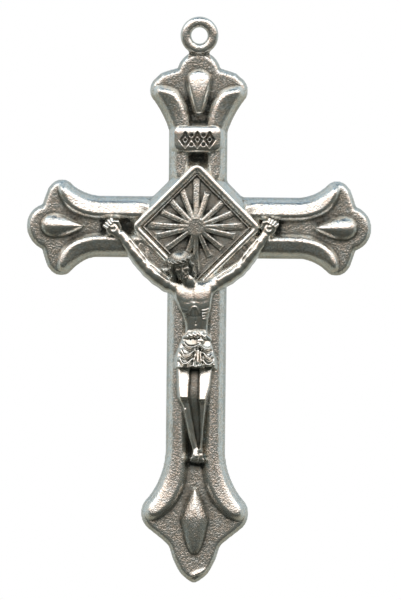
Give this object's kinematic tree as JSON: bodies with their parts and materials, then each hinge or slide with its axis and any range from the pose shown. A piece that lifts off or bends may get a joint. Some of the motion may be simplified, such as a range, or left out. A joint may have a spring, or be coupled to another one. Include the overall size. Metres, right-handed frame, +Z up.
{
  "type": "crucifix pendant",
  "caption": "Cast silver-toned crucifix pendant with flared ends, raised leaf relief, sunburst plaque, nailed figure and a suspension eyelet.",
  "frame": {"origin": "centre of the eyelet's bore, halfway through its thickness", "axes": "+Z up the cross from foot to eyelet, +X to the viewer's right, -Y out of the front; the eyelet's bore runs along Y"},
  "size_m": [0.0345, 0.0052, 0.0566],
  "materials": {
    "antique_silver": "satin",
    "relief_silver": "satin",
    "corpus_silver": "satin",
    "nail_silver": "satin"
  },
  "bodies": {
    "root": {"cross_body": "antique_silver", "suspension_eyelet": "antique_silver", "top_leaf_left": "relief_silver", "top_leaf_right": "relief_silver", "left_leaf_upper": "relief_silver", "left_leaf_lower": "relief_silver", "right_leaf_upper": "relief_silver", "right_leaf_lower": "relief_silver", "foot_leaf_left": "relief_silver", "foot_leaf_right": "relief_silver", "top_petal": "relief_silver", "left_petal": "relief_silver", "right_petal": "relief_silver", "foot_lozenge": "relief_silver", "titulus_plate": "relief_silver", "plaque_frame": "relief_silver", "sunburst": "relief_silver", "corpus": "corpus_silver", "left_hand_nail": "nail_silver", "right_hand_nail": "nail_silver", "foot_nail": "nail_silver"}
  },
  "joints": []
}
